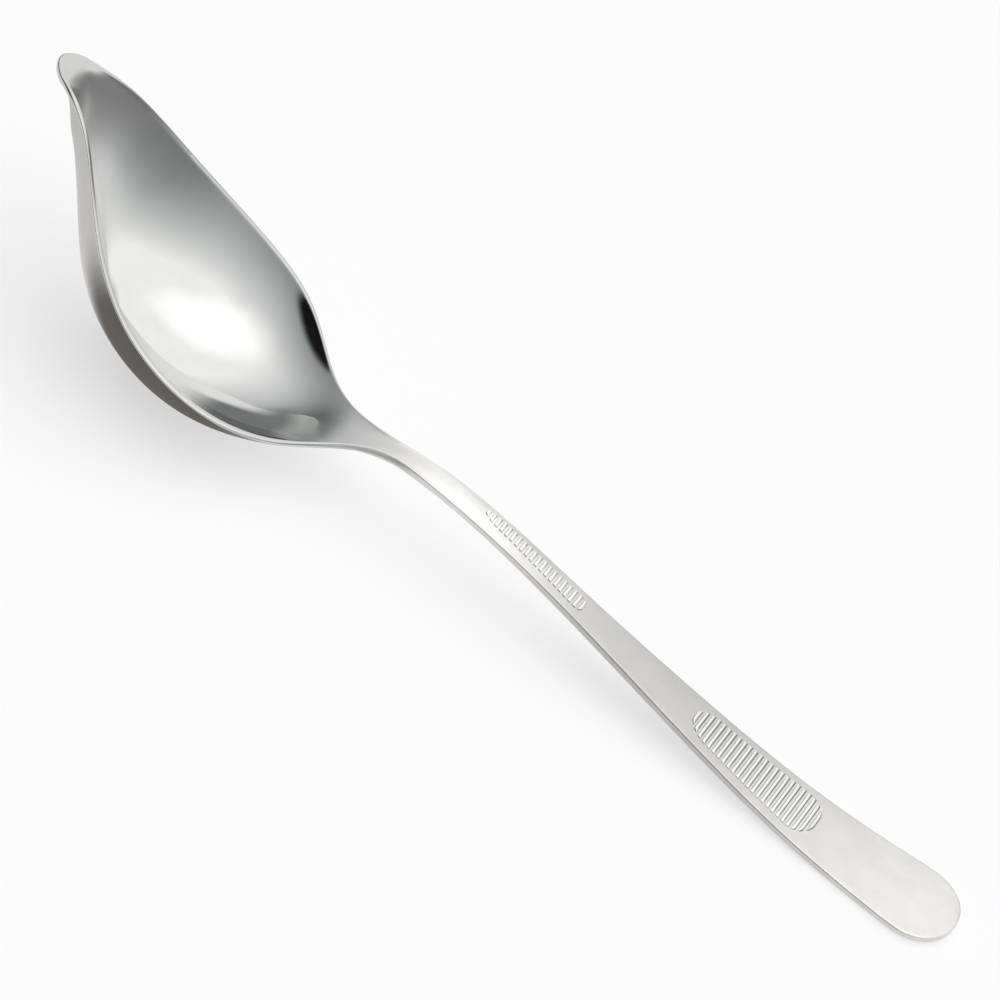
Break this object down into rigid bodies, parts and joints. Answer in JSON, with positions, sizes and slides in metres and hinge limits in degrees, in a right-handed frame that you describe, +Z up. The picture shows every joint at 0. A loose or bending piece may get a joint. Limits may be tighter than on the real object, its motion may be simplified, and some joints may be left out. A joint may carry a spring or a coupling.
{
  "type": "saucier spoon",
  "caption": "Stainless saucier spoon: deep mirror-polished teardrop bowl, raised drawn pouring spout, arched neck and a flaring satin handle with ribbed finger grips.",
  "frame": {"origin": "on the table under the middle of the spoon's length and width", "axes": "+X from the spout towards the end of the handle, +Y across, +Z up out of the open bowl"},
  "size_m": [0.222, 0.0506, 0.0437],
  "materials": {
    "polished_steel": "mirror polished stainless steel",
    "satin_steel": "fine satin stainless steel"
  },
  "bodies": {
    "root": {"pouring_spout": "polished_steel", "bowl": "polished_steel", "neck": "satin_steel", "handle": "satin_steel", "front_grip_ribs": "satin_steel", "rear_grip_ribs": "satin_steel"}
  },
  "joints": []
}
